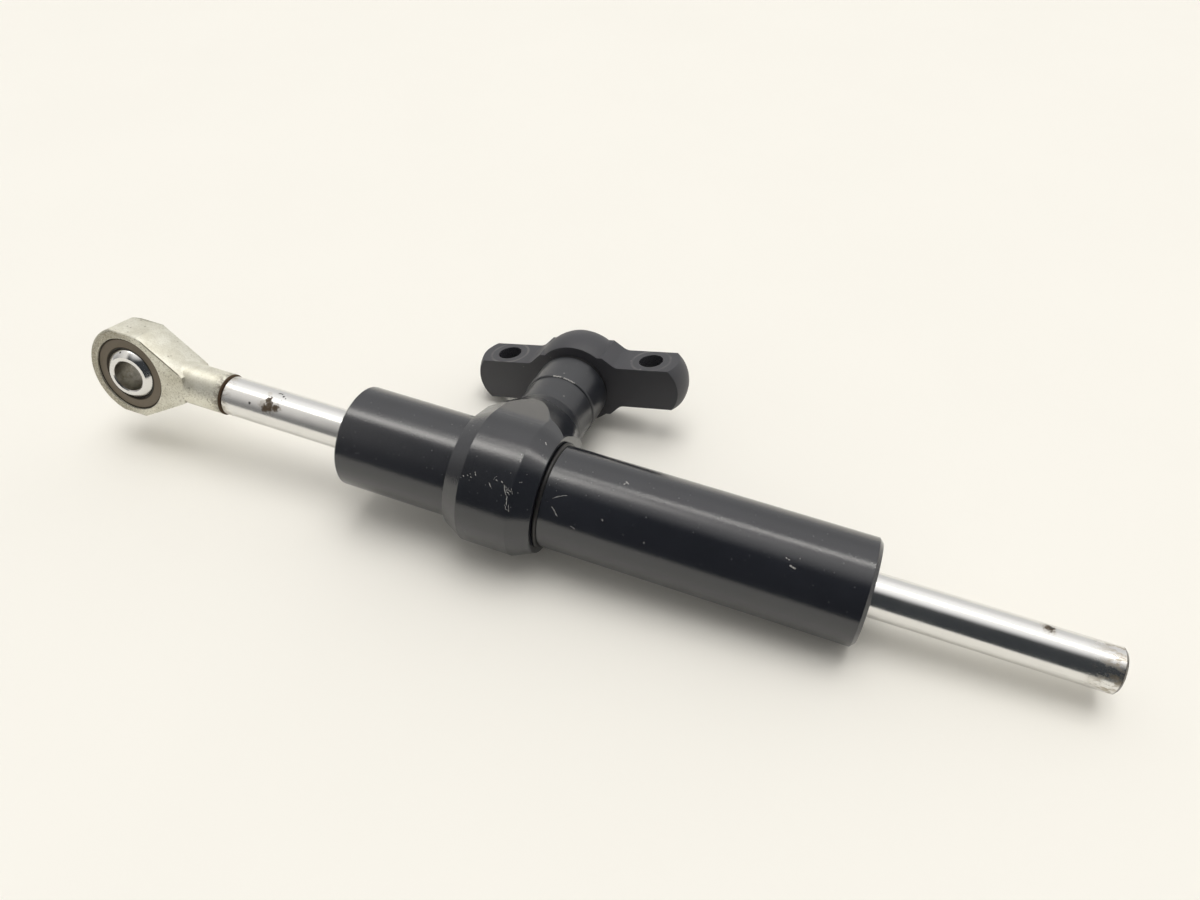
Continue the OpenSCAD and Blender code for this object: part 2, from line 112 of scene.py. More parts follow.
def new_group(name, inputs, outputs):
    """Starts a shader group with inputs of named kinds and with plain values as outputs."""
    tree = bpy.data.node_groups.new(name, "ShaderNodeTree")
    for label, kind in inputs.items():
        tree.interface.new_socket(label, in_out="INPUT", socket_type="NodeSocket" + kind)
    for label in outputs:
        tree.interface.new_socket(label, in_out="OUTPUT", socket_type="NodeSocketFloat")
    return tree, tree.nodes.new("NodeGroupInput").outputs, tree.nodes.new("NodeGroupOutput").inputs


def add_group(tree, group, inputs):
    """Places a shader group in a material."""
    return add_node(tree, "ShaderNodeGroup", inputs, node_tree=group).outputs


def dress(material, *names):
    """Gives CAD nodes a material."""
    for name in names:
        nodes[name].data.materials.clear()
        nodes[name].data.materials.append(material)


# A spot with a ragged edge, round a place on the surface
spot_group, spot_in, spot_out = new_group(
    "ragged_spot",
    {"Place": "Vector", "Centre": "Vector", "Radius": "Float", "Grain": "Float"},
    ["Mask"],
)
reach = add_vector(spot_group, "DISTANCE", spot_in["Place"], spot_in["Centre"], "Value")
reach = add_math(spot_group, "DIVIDE", reach, spot_in["Radius"])
ragged = add_noise(spot_group, spot_in["Place"], spot_in["Grain"], 4.0, 0.65)
ragged = add_product(spot_group, add_math(spot_group, "SUBTRACT", ragged, 0.5), 3.4)
reach = add_math(spot_group, "ADD", reach, ragged)
spot_group.links.new(add_ramp(spot_group, reach, 1.05, 0.75), spot_out["Mask"])


def add_spots(tree, place, spots, grain):
    """Joins ragged spots into one mask."""
    mask = 0.0
    for centre, radius in spots:
        inputs = {"Place": place, "Centre": centre, "Radius": radius, "Grain": grain}
        mask = add_math(tree, "MAXIMUM", mask, add_group(tree, spot_group, inputs)["Mask"])
    return mask


rod_left = -0.0765
rod_right = 0.1365
rust_spots = [
    ((-0.06328, -0.05124, 0.00437), 0.00095),
    ((-0.06268, -0.05200, 0.00384), 0.00095),
    ((-0.06351, -0.05286, 0.00292), 0.00105),
    ((-0.06241, -0.05276, 0.00306), 0.00095),
    ((-0.06088, -0.05239, 0.00348), 0.00105),
    ((0.12110, -0.04780, 0.00490), 0.0012),
]
pits = [
    ((-0.06193, -0.04852, 0.00499), 0.00032),
    ((-0.06126, -0.04846, 0.00499), 0.00032),
    ((-0.06035, -0.04913, 0.00499), 0.00028),
    ((-0.05962, -0.04962, 0.00493), 0.0002),
    ((-0.06019, -0.05046, 0.00472), 0.00016),
    ((-0.06800, -0.05284, 0.00295), 0.00036),
    ((0.12145, -0.04765, 0.00487), 0.0004),
]
stains = [
    ((-0.06471, -0.05223, 0.00364), 0.001),
    ((-0.06402, -0.04946, 0.00496), 0.0006),
    ((-0.06279, -0.05258, 0.00327), 0.0018),
    ((-0.05976, -0.05235, 0.00352), 0.0006),
    ((0.12080, -0.04790, 0.00490), 0.0018),
]
rod_chrome, tree, surface, place = new_finish("rod_chrome")
along = add_split(tree, place)
cloud = add_noise(tree, place, 160.0, 4.0, 0.6)
polish = add_noise(tree, add_stretch(tree, place, (9000.0, 60.0, 60.0)), 1.0, 3.0, 0.6)
rust = add_spots(tree, place, rust_spots, 2600.0)
pitted = add_spots(tree, place, pits, 2600.0)
stained = add_product(tree, add_spots(tree, place, stains, 1500.0), 0.3)

# Dull smears on the underside
smear = add_noise(tree, add_stretch(tree, place, (160.0, 2200.0, 2200.0)), 1.0, 4.0, 0.65)
smear = add_ramp(tree, smear, 0.5, 0.68, 0.0, 0.3)
smear = add_product(tree, smear, add_ramp(tree, along["Z"], 0.0008, -0.0008))

# A brown film beside the rod end and near the tip, and the bare chamfer round the tip painted dark
# as shade
film = add_noise(tree, add_stretch(tree, place, (420.0, 900.0, 900.0)), 1.0, 5.0, 0.7)
seam = add_ramp(tree, along["X"], rod_left + 0.0034, rod_left)
seam = add_product(tree, seam, add_ramp(tree, film, 0.42, 0.62))
tip = add_ramp(tree, along["X"], rod_right - 0.0086, rod_right - 0.0016)
tip = add_product(tree, tip, add_ramp(tree, film, 0.45, 0.62))
film = add_product(tree, add_math(tree, "MAXIMUM", seam, tip), 0.75)
film = add_math(tree, "MAXIMUM", film, stained)
# Painted shade: the chamfer round the tip is darkened almost to black
tip_chamfer_shade = add_ramp(tree, along["X"], rod_right - 0.0007, rod_right - 0.0005, 0.0, 0.85)

colour = add_mix(tree, smear, (0.79, 0.785, 0.77, 1.0), (0.42, 0.41, 0.38, 1.0))
colour = add_mix(tree, film, colour, (0.33, 0.27, 0.18, 1.0))
colour = add_mix(tree, tip_chamfer_shade, colour, (0.055, 0.050, 0.042, 1.0))
colour = add_mix(tree, rust, colour, (0.075, 0.050, 0.026, 1.0))
colour = add_mix(tree, pitted, colour, (0.022, 0.021, 0.017, 1.0))
rust = add_math(tree, "MAXIMUM", rust, pitted)
rough = add_ramp(tree, cloud, 0.3, 0.8, 0.155, 0.215)
rough = add_math(tree, "MULTIPLY_ADD", polish, 0.05, rough)
rough = add_math(tree, "MULTIPLY_ADD", add_math(tree, "MAXIMUM", rust, film), 0.4, rough)
tree.links.new(colour, surface.inputs["Base Color"])
tree.links.new(rough, surface.inputs["Roughness"])
tree.links.new(add_math(tree, "MULTIPLY_ADD", rust, -0.9, 1.0), surface.inputs["Metallic"])
tree.links.new(add_bump(tree, polish, 0.02, 0.0001), surface.inputs["Normal"])
dress(rod_chrome, "damper_rod")


# Piston with its ring, shims and circlips
# A turned aluminium piston on the rod, with a filled plastic ring, steel discs over its oil ports
# and a spring steel circlip on each side. The tube hides all of them.


def simple_finish(name, stretch, dark, light, smooth, rough, metallic=0.0, detail=3.0, grit=0.6):
    """A finish with one fine pattern in its colour and its roughness."""
    material, tree, surface, place = new_finish(name)
    pattern = add_noise(tree, add_stretch(tree, place, stretch), 1.0, detail, grit)
    colour = add_mix(tree, pattern, (*dark, 1.0), (*light, 1.0))
    tree.links.new(colour, surface.inputs["Base Color"])
    tree.links.new(add_ramp(tree, pattern, 0.2, 0.8, smooth, rough), surface.inputs["Roughness"])
    surface.inputs["Metallic"].default_value = metallic
    return material


plain_aluminium = simple_finish(
    "plain_aluminium", (6000.0, 120.0, 120.0),
    (0.66, 0.66, 0.67), (0.78, 0.78, 0.79), 0.28, 0.45, metallic=1.0,
)
dress(plain_aluminium, "piston", "left_rod_guide", "right_rod_guide")

ring_plastic = simple_finish(
    "ring_plastic", (1800.0, 1800.0, 1800.0),
    (0.24, 0.15, 0.1), (0.36, 0.25, 0.17), 0.45, 0.6,
)
dress(ring_plastic, "piston_ring")

plain_steel = simple_finish(
    "plain_steel", (300.0, 300.0, 4000.0),
    (0.5, 0.5, 0.5), (0.64, 0.64, 0.63), 0.25, 0.4, metallic=1.0,
)
dress(plain_steel, "left_valve_shim", "right_valve_shim", "pivot_washer")

spring_steel = simple_finish(
    "spring_steel", (2200.0, 2200.0, 2200.0),
    (0.025, 0.025, 0.026), (0.06, 0.058, 0.056), 0.3, 0.45, metallic=0.6,
)
dress(
    spring_steel,
    "left_piston_circlip", "right_piston_circlip", "left_guide_circlip", "right_guide_circlip",
    "collar_snap_ring", "pivot_circlip",
)


# Tube
# An aluminium tube, turned outside and anodised satin black, with a chamfer on its right end.
# Handling has left fine specks and a few bright nicks, most of them beside the collar.


def add_scale(tree, vector, scale):
    """Scales a vector."""
    inputs = {0: vector, "Scale": scale}
    return add_node(tree, "ShaderNodeVectorMath", inputs, operation="SCALE").outputs["Vector"]


# A thin bright line between two places: nicks, and on the stalk head's edge painted highlights
nick_and_glint_group, nick_and_glint_in, nick_and_glint_out = new_group(
    "nick_and_glint",
    {"Place": "Vector", "From": "Vector", "To": "Vector", "Width": "Float"},
    ["Mask"],
)
wobble = add_node(
    nick_and_glint_group, "ShaderNodeTexNoise", {"Vector": nick_and_glint_in["Place"], "Scale": 1500.0, "Detail": 3.0}
).outputs["Color"]
wobble = add_vector(nick_and_glint_group, "SUBTRACT", wobble, (0.5, 0.5, 0.5))
wobble = add_scale(nick_and_glint_group, wobble, 0.0004)
here = add_vector(nick_and_glint_group, "ADD", nick_and_glint_in["Place"], wobble)
side = add_vector(nick_and_glint_group, "SUBTRACT", here, nick_and_glint_in["From"])
run = add_vector(nick_and_glint_group, "SUBTRACT", nick_and_glint_in["To"], nick_and_glint_in["From"])
dot = add_vector(nick_and_glint_group, "DOT_PRODUCT", side, run, "Value")
square = add_vector(nick_and_glint_group, "DOT_PRODUCT", run, run, "Value")
share = add_math(nick_and_glint_group, "DIVIDE", dot, square)
share = add_node(nick_and_glint_group, "ShaderNodeClamp", {"Value": share}).outputs[0]
apart = add_vector(nick_and_glint_group, "DISTANCE", side, add_scale(nick_and_glint_group, run, share), "Value")
line = add_ramp(nick_and_glint_group, add_math(nick_and_glint_group, "DIVIDE", apart, nick_and_glint_in["Width"]), 1.0, 0.35)
broken = add_noise(nick_and_glint_group, nick_and_glint_in["Place"], 4200.0, 3.0, 0.6)
broken = add_ramp(nick_and_glint_group, broken, 0.34, 0.56)
nick_and_glint_group.links.new(add_product(nick_and_glint_group, line, broken), nick_and_glint_out["Mask"])

# Sparse specks of dust and bare metal
speck_group, speck_in, speck_out = new_group(
    "specks",
    {"Place": "Vector", "Scale": "Float", "Share": "Float", "Size": "Float"},
    ["Mask"],
)
cells = add_node(
    speck_group, "ShaderNodeTexVoronoi", {"Vector": speck_in["Place"], "Scale": speck_in["Scale"]}
).outputs
chosen = add_node(speck_group, "ShaderNodeSeparateColor", {"Color": cells["Color"]}).outputs
chosen_few = add_math(speck_group, "LESS_THAN", chosen["Red"], speck_in["Share"])
spread = add_math(speck_group, "ADD", chosen["Green"], 0.3)
spread = add_product(speck_group, speck_in["Size"], spread)
dots = add_ramp(speck_group, add_math(speck_group, "DIVIDE", cells["Distance"], spread), 1.0, 0.4)
speck_group.links.new(add_product(speck_group, dots, chosen_few), speck_out["Mask"])


def add_specks(tree, place, scale, share, size):
    """Strews specks over a piece: a share of the cells of a pattern gets one."""
    inputs = {"Place": place, "Scale": scale, "Share": share, "Size": size}
    return add_group(tree, speck_group, inputs)["Mask"]


def black_anodise(name, nicks, tint, smooth, rough):
    """A satin black anodised finish with specks and placed bright lines: nicks, and painted
    highlights where given.
    """
    material, tree, surface, place = new_finish(name)
    grain = add_noise(tree, place, 2600.0, 3.0, 0.65)
    lines = add_noise(tree, add_stretch(tree, place, (5200.0, 70.0, 70.0)), 1.0, 3.0, 0.6)
    cloud = add_noise(tree, place, 95.0, 4.0, 0.55)
    flakes = add_product(tree, add_specks(tree, place, 620.0, 0.05, 0.17), 0.3)
    dust = add_product(tree, add_specks(tree, place, 1500.0, 0.16, 0.2), 0.26)
    marks = add_math(tree, "MAXIMUM", flakes, dust)
    for start, end, width in nicks:
        inputs = {"Place": place, "From": start, "To": end, "Width": width}
        marks = add_math(tree, "MAXIMUM", marks, add_group(tree, nick_and_glint_group, inputs)["Mask"])
    dark = [0.75 * value for value in tint] + [1.0]
    light = [1.3 * value for value in tint] + [1.0]
    colour = add_mix(tree, cloud, dark, light)
    colour = add_mix(tree, marks, colour, (0.46, 0.45, 0.42, 1.0))
    gloss = add_math(tree, "MULTIPLY_ADD", grain, 0.5, cloud)
    gloss = add_ramp(tree, gloss, 0.45, 1.0, smooth, rough)
    gloss = add_math(tree, "MULTIPLY_ADD", marks, 0.2, gloss)
    edge = add_node(tree, "ShaderNodeBevel", {"Radius": 0.00018}, samples=4).outputs["Normal"]
    height = add_math(tree, "MULTIPLY_ADD", lines, 0.5, grain)
    tree.links.new(colour, surface.inputs["Base Color"])
    tree.links.new(gloss, surface.inputs["Roughness"])
    tree.links.new(add_bump(tree, height, 0.24, 0.0001, edge), surface.inputs["Normal"])
    surface.inputs["IOR"].default_value = 1.7
    return material


tube_nicks = [
    ((0.01512, -0.05812, 0.00795), (0.01628, -0.05757, 0.00855), 0.000074),
    ((0.01628, -0.05757, 0.00855), (0.01797, -0.05713, 0.00898), 0.000074),
    ((0.01544, -0.05927, 0.00635), (0.01637, -0.05970, 0.00559), 0.00014),
    ((0.01650, -0.05976, 0.00540), (0.01702, -0.06002, 0.00491), 0.00015),
    ((0.02037, -0.06049, 0.00365), (0.02163, -0.06062, 0.00322), 0.000074),
    ((0.02695, -0.05892, 0.00690), (0.02715, -0.05900, 0.00675), 0.00019),
    ((0.02904, -0.05152, 0.01194), (0.02940, -0.05061, 0.01211), 0.00016),
    ((0.02912, -0.05060, 0.01211), (0.02989, -0.05107, 0.01202), 0.00014),
    ((0.06789, -0.05725, 0.00886), (0.06902, -0.05743, 0.00869), 0.00024),
    ((0.06662, -0.05623, 0.00972), (0.06682, -0.05632, 0.00966), 0.00016),
    ((0.06724, -0.05632, 0.00966), (0.06747, -0.05636, 0.00963), 0.00016),
]
tube_black = black_anodise("black_anodised_tube", tube_nicks, (0.0165, 0.0182, 0.0240), 0.11, 0.17)
dress(tube_black, "damper_tube")


# Guide bushes, seals and wipers
# Bronze bushes carry the rod in the guides. Moulded rubber rings keep the oil in and the dust out.
# Only the wipers show, as a black ring round the rod in each end of the tube.

bronze = simple_finish(
    "bronze", (3000.0, 3000.0, 3000.0),
    (0.48, 0.31, 0.13), (0.66, 0.47, 0.24), 0.3, 0.5, metallic=1.0, detail=4.0, grit=0.65,
)
dress(bronze, "left_guide_bush", "right_guide_bush")

seal_rubber = simple_finish(
    "seal_rubber", (1400.0, 1400.0, 1400.0),
    (0.012, 0.012, 0.012), (0.03, 0.029, 0.028), 0.5, 0.7, detail=4.0,
)
dress(
    seal_rubber,
    "left_oil_seal", "right_oil_seal", "left_wiper", "right_wiper",
    "left_guide_o_ring", "right_guide_o_ring",
)


# Pivot collar
# An aluminium collar on the tube, turned and milled in one piece with the stalk of the bracket.
# It is anodised like the tube, and its band is scuffed on the front where it has rubbed.

damper_y = -0.0488
band_radius = 0.01637
flat_lean = math.radians(15.5)
collar_nicks_and_glints = [
    ((0.00137, -0.06176, 0.01000), (0.00225, -0.06234, 0.00920), 0.000099),
    ((0.00479, -0.06141, 0.01044), (0.00550, -0.06237, 0.00916), 0.000124),
    ((0.00550, -0.06237, 0.00916), (0.00617, -0.06276, 0.00856), 0.00012),
    ((0.00617, -0.06276, 0.00856), (0.00640, -0.06398, 0.00612), 0.000112),
    ((0.00633, -0.06381, 0.00654), (0.00600, -0.06370, 0.00680), 0.000099),
    ((0.00642, -0.06181, 0.00993), (0.00564, -0.06168, 0.01011), 0.000087),
    ((0.00600, -0.06215, 0.00950), (0.00655, -0.06240, 0.00910), 0.000099),
    ((-0.00225, -0.06128, 0.01059), (-0.00195, -0.06135, 0.01050), 0.000087),
    ((-0.00346, -0.06129, 0.01058), (-0.00310, -0.06150, 0.01030), 0.000081),
    ((0.00206, -0.06120, 0.01069), (0.00266, -0.06046, 0.01149), 0.000062),
    ((0.00514, -0.06150, 0.01032), (0.00599, -0.06225, 0.00933), 0.00010),
    ((0.00661, -0.06162, 0.01017), (0.00711, -0.06210, 0.00923), 0.00008),
    ((0.00586, -0.06190, 0.00981), (0.00674, -0.06199, 0.00965), 0.00011),
    ((0.00617, -0.06286, 0.00838), (0.00639, -0.06359, 0.00700), 0.00012),
    ((0.00686, -0.06347, 0.00709), (0.00714, -0.06393, 0.00571), 0.00009),
    ((0.00634, -0.06398, 0.00612), (0.00679, -0.06400, 0.00596), 0.00009),
    ((-0.00249, -0.06078, 0.01114), (-0.00216, -0.06122, 0.01065), 0.00012),
    ((-0.00489, -0.06184, 0.00988), (-0.00467, -0.06191, 0.00979), 0.00014),
    ((-0.00397, -0.06159, 0.01021), (-0.00372, -0.06166, 0.01012), 0.00012),
    ((-0.00316, -0.06170, 0.01007), (-0.00291, -0.06173, 0.01004), 0.00012),
    ((0.00277, -0.06105, 0.01086), (0.00306, -0.06109, 0.01081), 0.00014),
    ((0.00397, -0.06104, 0.01087), (0.00426, -0.06111, 0.01078), 0.00014),
    ((0.00785, -0.06001, 0.01121), (0.00829, -0.05972, 0.01121), 0.00008),
    ((0.00923, -0.04929, 0.01521), (0.00975, -0.04983, 0.01495), 0.00014),
    # Painted highlights: glints along the front edge of the stalk head
    ((-0.00209, -0.01645, 0.00935), (-0.00017, -0.01645, 0.00958), 0.00026),
    ((0.00088, -0.01645, 0.00954), (0.00216, -0.01645, 0.00933), 0.00028),
    ((0.00216, -0.01645, 0.00933), (0.00357, -0.01645, 0.00889), 0.00026),
]
collar_black = black_anodise(
    "black_anodised_collar", collar_nicks_and_glints, (0.0165, 0.0182, 0.0235), 0.105, 0.165,
)
dress(collar_black, "pivot_collar")

# The milled flats of the boss are painted paler as a painted reflection of the pale table, each on a
# plane that leans and touches the band
tree = collar_black.node_tree
surface = tree.nodes["Principled BSDF"]
place = add_node(tree, "ShaderNodeTexCoord").outputs["Object"]
spot = add_split(tree, place)
out = add_math(tree, "SUBTRACT", spot["Y"], damper_y)
rise = add_math(tree, "ABSOLUTE", spot["Z"])
plane = add_product(tree, rise, math.cos(flat_lean))
plane = add_math(tree, "MULTIPLY_ADD", out, math.sin(flat_lean), plane)
slant = add_product(tree, rise, -math.sin(flat_lean))
slant = add_math(tree, "MULTIPLY_ADD", out, math.cos(flat_lean), slant)
right_edge = add_math(tree, "MULTIPLY_ADD", slant, 0.39, spot["X"])
flat_sheen = add_product(
    tree,
    add_ramp(tree, add_distance(tree, plane, band_radius), 0.00016, 0.00006),
    add_ramp(tree, slant, 0.0014, 0.0034),
    add_ramp(tree, slant, 0.0185, 0.0175),
    add_ramp(tree, right_edge, 0.0081, 0.0077),
)
# Painted reflection: a paler colour on the flats
coat = surface.inputs["Base Color"].links[0].from_socket
colour = add_mix(tree, flat_sheen, coat, (0.062, 0.058, 0.051, 1.0))
tree.links.new(colour, surface.inputs["Base Color"])

# The stalk is duller than the band
gloss = surface.inputs["Roughness"].links[0].from_socket
on_stalk = add_ramp(tree, spot["Y"], -0.034, -0.026)
rough = add_math(tree, "MULTIPLY_ADD", on_stalk, 0.2, gloss)
tree.links.new(rough, surface.inputs["Roughness"])


# Mounting bracket with its bush
# A two-bolt bracket with a ball-shaped hub, milled from aluminium bar and coated matte black.
# Bolt heads have printed faint rings round its holes. A black plastic bush lines its hub.

bush_plastic = simple_finish(
    "bush_plastic", (2400.0, 2400.0, 2400.0),
    (0.008, 0.008, 0.009), (0.016, 0.016, 0.017), 0.5, 0.65,
)
dress(bush_plastic, "pivot_bush")

# How far a place lies along an axis, and out from it
axis_group, axis_in, axis_out = new_group(
    "about_axis",
    {"Place": "Vector", "Centre": "Vector", "Axis": "Vector"},
    ["Depth", "Distance"],
)
arm = add_vector(axis_group, "SUBTRACT", axis_in["Place"], axis_in["Centre"])
depth = add_vector(axis_group, "DOT_PRODUCT", arm, axis_in["Axis"], "Value")
foot = add_scale(axis_group, axis_in["Axis"], depth)
away = add_vector(axis_group, "DISTANCE", arm, foot, "Value")
axis_group.links.new(depth, axis_out["Depth"])
axis_group.links.new(away, axis_out["Distance"])


def add_about(tree, place, centre, axis):
    """Gives the depth along an axis and the distance from it."""
    return add_group(tree, axis_group, {"Place": place, "Centre": centre, "Axis": axis})


bracket_turn = math.radians(13.4)
hole_reach = 0.0208
hole_radius = 0.0032
print_radius = 0.0052
wing_half = 0.00585
wing_axis = Vector((math.cos(bracket_turn), 0.0, math.sin(bracket_turn)))
bolt_axis = Vector((-math.sin(bracket_turn), 0.0, math.cos(bracket_turn)))

bracket_black, tree, surface, place = new_finish("black_coated_bracket")
grain = add_noise(tree, place, 4200.0, 3.0, 0.6)
cloud = add_noise(tree, place, 120.0, 4.0, 0.6)
marks = add_product(tree, add_specks(tree, place, 520.0, 0.06, 0.18), 0.4)
rings = 0.0
bores = 0.0
for sign in (-1, 1):
    about = add_about(tree, place, tuple(sign * hole_reach * wing_axis), tuple(bolt_axis))
    band = add_ramp(tree, add_distance(tree, about["Distance"], print_radius), 0.0005, 0.0001)
    height = add_math(tree, "ABSOLUTE", about["Depth"])
    face = add_ramp(tree, height, wing_half - 0.00015, wing_half - 0.00003)
    rings = add_math(tree, "MAXIMUM", rings, add_product(tree, band, face))
    bore = add_ramp(tree, about["Distance"], hole_radius + 0.0001, hole_radius + 0.00002)
    bores = add_math(tree, "MAXIMUM", bores, bore)
rings = add_product(tree, rings, add_ramp(tree, cloud, 0.35, 0.6, 0.1, 0.6))
colour = add_mix(tree, cloud, (0.043, 0.043, 0.050, 1.0), (0.062, 0.062, 0.069, 1.0))
colour = add_mix(tree, rings, colour, (0.17, 0.165, 0.16, 1.0))
colour = add_mix(tree, marks, colour, (0.3, 0.29, 0.27, 1.0))
rough = add_ramp(tree, add_math(tree, "ADD", cloud, grain), 0.6, 1.4, 0.42, 0.58)
rough = add_math(tree, "MULTIPLY_ADD", bores, -0.25, rough)
edge = add_node(tree, "ShaderNodeBevel", {"Radius": 0.00025}, samples=4).outputs["Normal"]
tree.links.new(colour, surface.inputs["Base Color"])
tree.links.new(rough, surface.inputs["Roughness"])
tree.links.new(add_bump(tree, grain, 0.12, 0.0001, edge), surface.inputs["Normal"])
dress(bracket_black, "mounting_bracket")


# Rod end
# A forged steel eye, zinc plated to a dull straw colour, with a brown-grey ring pressed into it.
# A chromed ball with the bolt's bore swivels in the ring. Rust has crept in between shank and rod.

eye_centre = (-0.1041, damper_y, 0.0)
eye_axis = (0.0, -0.991445, 0.130526)
eye_half = 0.0049
ball_axis = (0.087156, -0.987672, 0.130029)

plated_steel, tree, surface, place = new_finish("plated_steel")
along = add_split(tree, place)
about = add_about(tree, place, eye_centre, eye_axis)
depth = add_math(tree, "ABSOLUTE", about["Depth"])
grain = add_noise(tree, place, 2600.0, 4.0, 0.7)
cloud = add_noise(tree, place, 210.0, 5.0, 0.65)
plating = add_ramp(tree, cloud, 0.3, 0.7)
colour = add_mix(tree, plating, (0.70, 0.675, 0.565, 1.0), (0.86, 0.845, 0.745, 1.0))

# Dirt in the grain, more of it on the machined flat faces
machined = add_ramp(tree, depth, eye_half - 0.0001, eye_half - 0.00002)
dirt = add_ramp(tree, machined, 0.0, 1.0, 0.3, 0.7)
dirt = add_product(tree, add_ramp(tree, grain, 0.48, 0.70), dirt)
colour = add_mix(tree, dirt, colour, (0.40, 0.36, 0.27, 1.0))
spots = add_product(tree, add_specks(tree, place, 900.0, 0.16, 0.3), 0.5)
colour = add_mix(tree, spots, colour, (0.16, 0.12, 0.07, 1.0))
bites = add_product(tree, add_specks(tree, place, 1300.0, 0.4, 0.3), machined, 0.55)
colour = add_mix(tree, bites, colour, (0.20, 0.17, 0.12, 1.0))

# Wear round the eye's far edge, and painted shade where the flank runs into the shank
rim = add_product(
    tree,
    add_ramp(tree, about["Distance"], 0.0097, 0.0101),
    add_ramp(tree, depth, eye_half - 0.0009, eye_half - 0.0002),
    add_ramp(tree, along["X"], -0.0985, -0.1065),
    add_ramp(tree, grain, 0.3, 0.6, 0.35, 0.8),
)
colour = add_mix(tree, rim, colour, (0.30, 0.27, 0.20, 1.0))
# Painted shade: the fillet between flank and shank is darkened
flank_corner_shade = add_product(
    tree,
    add_ramp(tree, about["Depth"], eye_half - 0.00042, eye_half - 0.0003),
    add_ramp(tree, depth, eye_half - 0.00001, eye_half - 0.00006),
    add_ramp(tree, along["X"], -0.1003, -0.0988),
    add_ramp(tree, along["X"], -0.0876, -0.0890),
    add_ramp(tree, cloud, 0.25, 0.5, 0.5, 0.95),
)
colour = add_mix(tree, flank_corner_shade, colour, (0.085, 0.070, 0.045, 1.0))

# Rust at the shank's end
creep = add_noise(tree, add_stretch(tree, place, (700.0, 1100.0, 1100.0)), 1.0, 5.0, 0.7)
creep = add_product(
    tree,
    add_ramp(tree, along["X"], rod_left - 0.0036, rod_left),
    add_ramp(tree, creep, 0.42, 0.62),
    0.8,
)
seam = add_ramp(tree, along["X"], rod_left - 0.0007, rod_left - 0.0003)
rust = add_math(tree, "MAXIMUM", creep, seam)
colour = add_mix(tree, rust, colour, (0.075, 0.042, 0.018, 1.0))

rough = add_ramp(tree, grain, 0.25, 0.75, 0.36, 0.56)
rough = add_math(tree, "MULTIPLY_ADD", rust, 0.3, rough)
edge = add_node(tree, "ShaderNodeBevel", {"Radius": 0.00025}, samples=4).outputs["Normal"]
crown = add_bump(tree, add_product(tree, depth, depth, -22.0), 1.0, 1.0, edge)
tree.links.new(colour, surface.inputs["Base Color"])
tree.links.new(rough, surface.inputs["Roughness"])
tree.links.new(add_math(tree, "MULTIPLY_ADD", rust, -0.7, 0.8), surface.inputs["Metallic"])
tree.links.new(add_bump(tree, grain, 0.22, 0.00015, crown), surface.inputs["Normal"])
dress(plated_steel, "rod_end_housing")

race_steel, tree, surface, place = new_finish("race_steel")
about = add_about(tree, place, eye_centre, eye_axis)
grain = add_noise(tree, place, 2200.0, 4.0, 0.65)
# Painted shade: dark rings at the race's outer edge, against the eye, and at its inner edge, against
# the ball
outer_edge_shade = add_ramp(tree, about["Distance"], 0.00925, 0.00955)
inner_edge_shade = add_ramp(tree, about["Distance"], 0.00745, 0.00720)
race_edge_shade = add_product(tree, add_math(tree, "MAXIMUM", outer_edge_shade, inner_edge_shade), 0.9)
colour = add_mix(tree, grain, (0.14, 0.115, 0.085, 1.0), (0.24, 0.205, 0.16, 1.0))
colour = add_mix(tree, race_edge_shade, colour, (0.022, 0.018, 0.012, 1.0))
tree.links.new(colour, surface.inputs["Base Color"])
tree.links.new(add_ramp(tree, grain, 0.2, 0.8, 0.38, 0.55), surface.inputs["Roughness"])
tree.links.new(add_bump(tree, grain, 0.1, 0.0001), surface.inputs["Normal"])
surface.inputs["Metallic"].default_value = 0.7
dress(race_steel, "rod_end_race")

ball_chrome, tree, surface, place = new_finish("ball_chrome")
about = add_about(tree, place, eye_centre, ball_axis)
cloud = add_noise(tree, place, 420.0, 4.0, 0.6)
spots = add_specks(tree, place, 700.0, 0.1, 0.28)
inside = add_ramp(tree, about["Distance"], 0.00412, 0.00403)
worn = add_ramp(tree, cloud, 0.35, 0.65)
worn = add_mix(tree, worn, (0.24, 0.225, 0.19, 1.0), (0.44, 0.42, 0.37, 1.0))
colour = add_mix(tree, spots, (0.74, 0.735, 0.72, 1.0), (0.09, 0.07, 0.05, 1.0))
colour = add_mix(tree, inside, colour, worn)
rough = add_ramp(tree, cloud, 0.3, 0.75, 0.1, 0.22)
rough = add_math(tree, "MULTIPLY_ADD", inside, 0.25, rough)
tree.links.new(colour, surface.inputs["Base Color"])
tree.links.new(rough, surface.inputs["Roughness"])
surface.inputs["Metallic"].default_value = 1.0
dress(ball_chrome, "rod_end_ball")


# Table, lights and camera
# The damper lies on a pale table, on its collar, the right end of its tube and the bracket's hub.
# Long soft lamps hang above it, and the room is pale behind it and dark on the camera's side.

table_slope_x = 0.0532
table_slope_y = 0.0861
table_height = -0.01257
table_turn = math.radians(20.3)
table_size = 5.0
front_edge = -0.146

